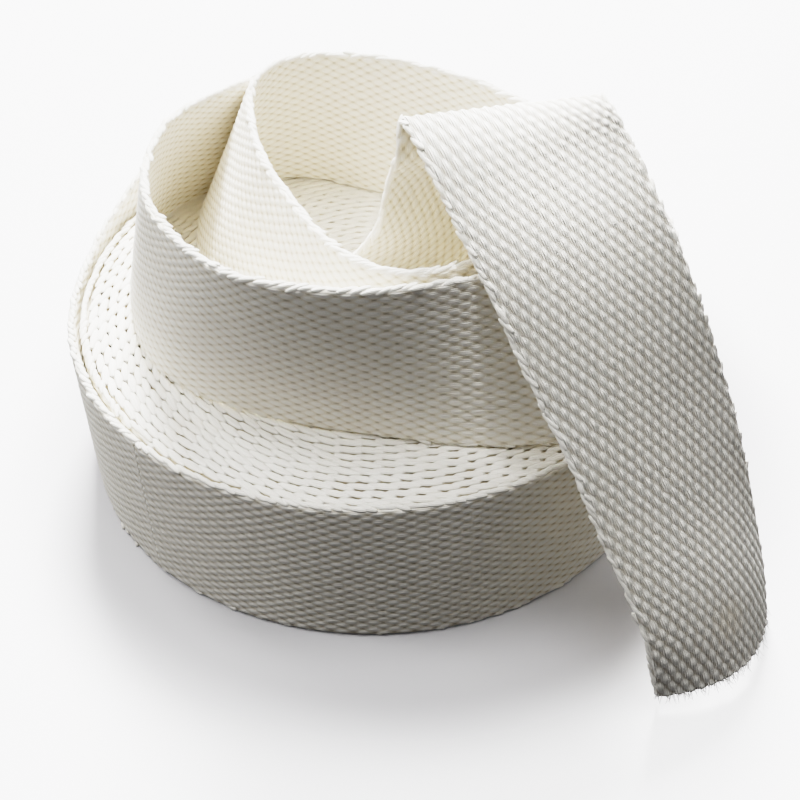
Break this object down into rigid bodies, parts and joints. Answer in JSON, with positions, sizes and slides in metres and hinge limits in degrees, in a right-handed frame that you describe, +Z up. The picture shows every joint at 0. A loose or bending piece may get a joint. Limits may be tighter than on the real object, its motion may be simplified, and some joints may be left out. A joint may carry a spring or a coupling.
{
  "type": "webbing roll",
  "caption": "Flat roll of white cotton webbing lying on its side, with its loose end coiled on top in standing turns and hanging over to a frayed cut end.",
  "frame": {"origin": "centre of the bounding box, on the surface the roll lies on", "axes": "+Z up along the roll's axis, +Y towards the back, away from the hanging end, +X to the right seen from the front"},
  "size_m": [0.1921, 0.208, 0.127],
  "materials": {
    "cotton_webbing": "matte woven cotton",
    "cotton_webbing_loose": "matte woven cotton",
    "cut_cotton_yarn": "frayed cotton yarn"
  },
  "bodies": {
    "root": {"wound_roll": "cotton_webbing", "loose_end": "cotton_webbing_loose", "frayed_end": "cut_cotton_yarn"}
  },
  "joints": []
}
